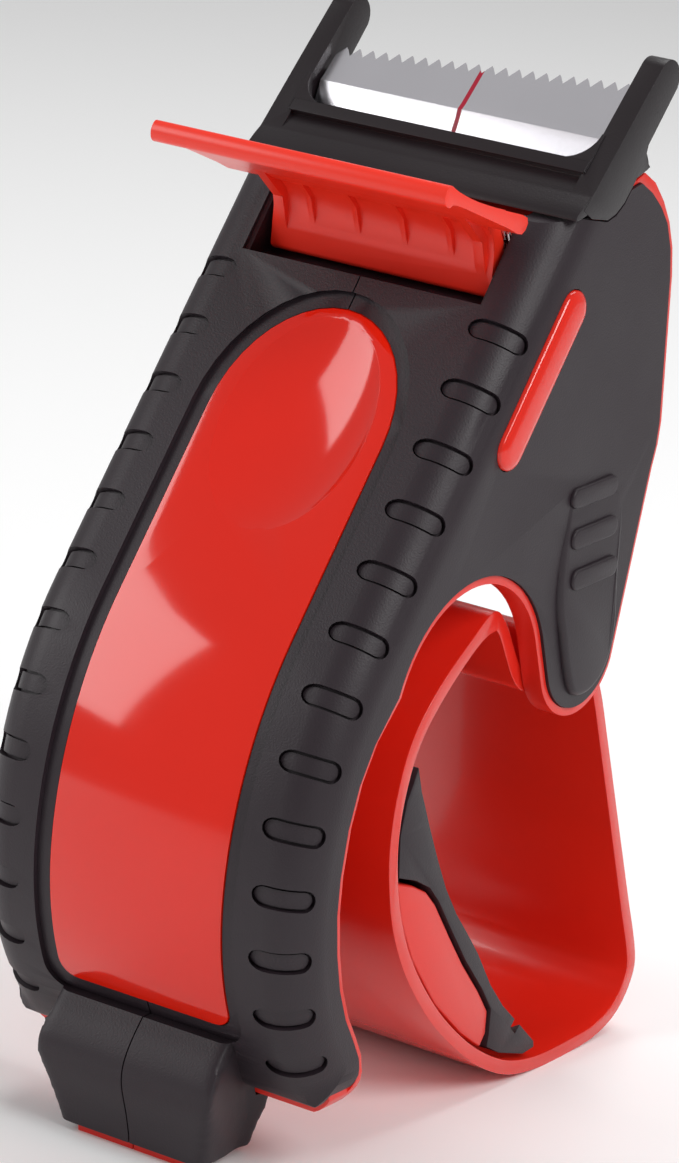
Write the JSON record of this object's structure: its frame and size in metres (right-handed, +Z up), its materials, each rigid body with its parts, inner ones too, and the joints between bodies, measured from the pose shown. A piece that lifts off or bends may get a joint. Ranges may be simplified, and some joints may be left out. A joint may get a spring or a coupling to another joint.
{
  "type": "tape dispenser",
  "caption": "Hand-held packing tape dispenser: curved spine with thumb dish, hand loop, press flap and a toothed steel blade between two guard ears.",
  "frame": {"origin": "centre of the footprint, on the surface that the foot and the hand loop rest on", "axes": "+X is the side with the blade's taller end, -Y is the spine's front with the thumb dish, +Z up"},
  "size_m": [0.0644, 0.1096, 0.1685],
  "materials": {
    "red_shell": "smooth moulded red, satin",
    "red_gloss": "glossy deep red",
    "soft_black": "fine matt soft-touch skin",
    "black_plastic": "satin black",
    "blade_steel": "polished, with one printed red line",
    "steel": "bright",
    "grey_plastic": "natural grey acetal"
  },
  "bodies": {
    "housing": {"right_shell": "red_shell", "left_shell": "red_shell", "right_overmould": "soft_black", "left_overmould": "soft_black", "window_insert": "red_gloss", "nose_fork": "black_plastic", "cutter_blade": "blade_steel", "flap_pin": "steel", "flap_spring": "steel", "hub_loop": "red_gloss", "grip_core": "red_shell", "grip_rubber": "soft_black", "roller_axle": "steel", "roller_bush_right": "grey_plastic", "roller_bush_left": "grey_plastic", "upper_spacer": "red_shell", "rear_spacer": "red_shell", "upper_screw": "steel", "rear_screw": "steel", "loop_screw": "steel", "right_inlay": "red_gloss", "left_inlay": "red_gloss"},
    "flap": {"flap": "red_shell"},
    "roller": {"guide_roller": "grey_plastic"}
  },
  "joints": [
    {"name": "flap_hinge", "type": "hinge", "parent": "housing", "child": "flap", "pos_m": [0, 0.0032, 0.1426], "axis": [1, 0, 0], "range_deg": [0, 12], "stiffness_Nm_per_rad": 0.2},
    {"name": "roller_spin", "type": "hinge", "parent": "housing", "child": "roller", "pos_m": [0, 0.019, 0.14], "axis": [1, 0, 0], "continuous": true}
  ]
}
